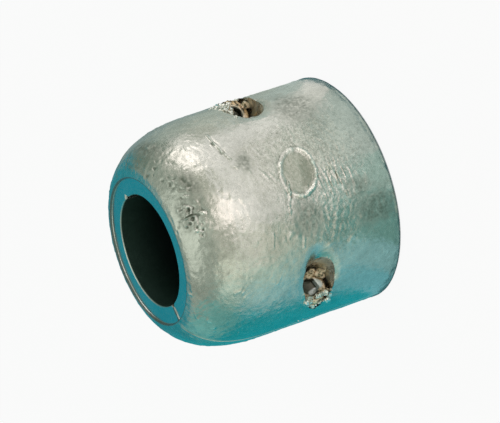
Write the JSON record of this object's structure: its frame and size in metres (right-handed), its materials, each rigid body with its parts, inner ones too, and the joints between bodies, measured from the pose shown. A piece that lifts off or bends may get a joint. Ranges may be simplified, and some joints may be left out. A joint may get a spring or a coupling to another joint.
{
  "type": "sacrificial anode",
  "caption": "Bullet-shaped split zinc collar with a flat end and a rounded nose, clamped round a propeller shaft by recessed socket-head screws.",
  "frame": {"origin": "centre of the bore in the plane of the flat end", "axes": "+Z along the bore from the flat end to the nose; the halves meet on the XZ plane and the screw heads face -Y"},
  "size_m": [0.071, 0.0714, 0.068],
  "materials": {
    "zinc": "rough cast zinc, weathered to a satin grey",
    "screw": "yellow passivated",
    "nut": "yellow passivated"
  },
  "bodies": {
    "root": {"front_half": "zinc", "rear_half": "zinc", "clamp_screw_1": "screw", "clamp_screw_2": "screw", "clamp_nut_1": "nut", "clamp_nut_2": "nut"}
  },
  "joints": []
}
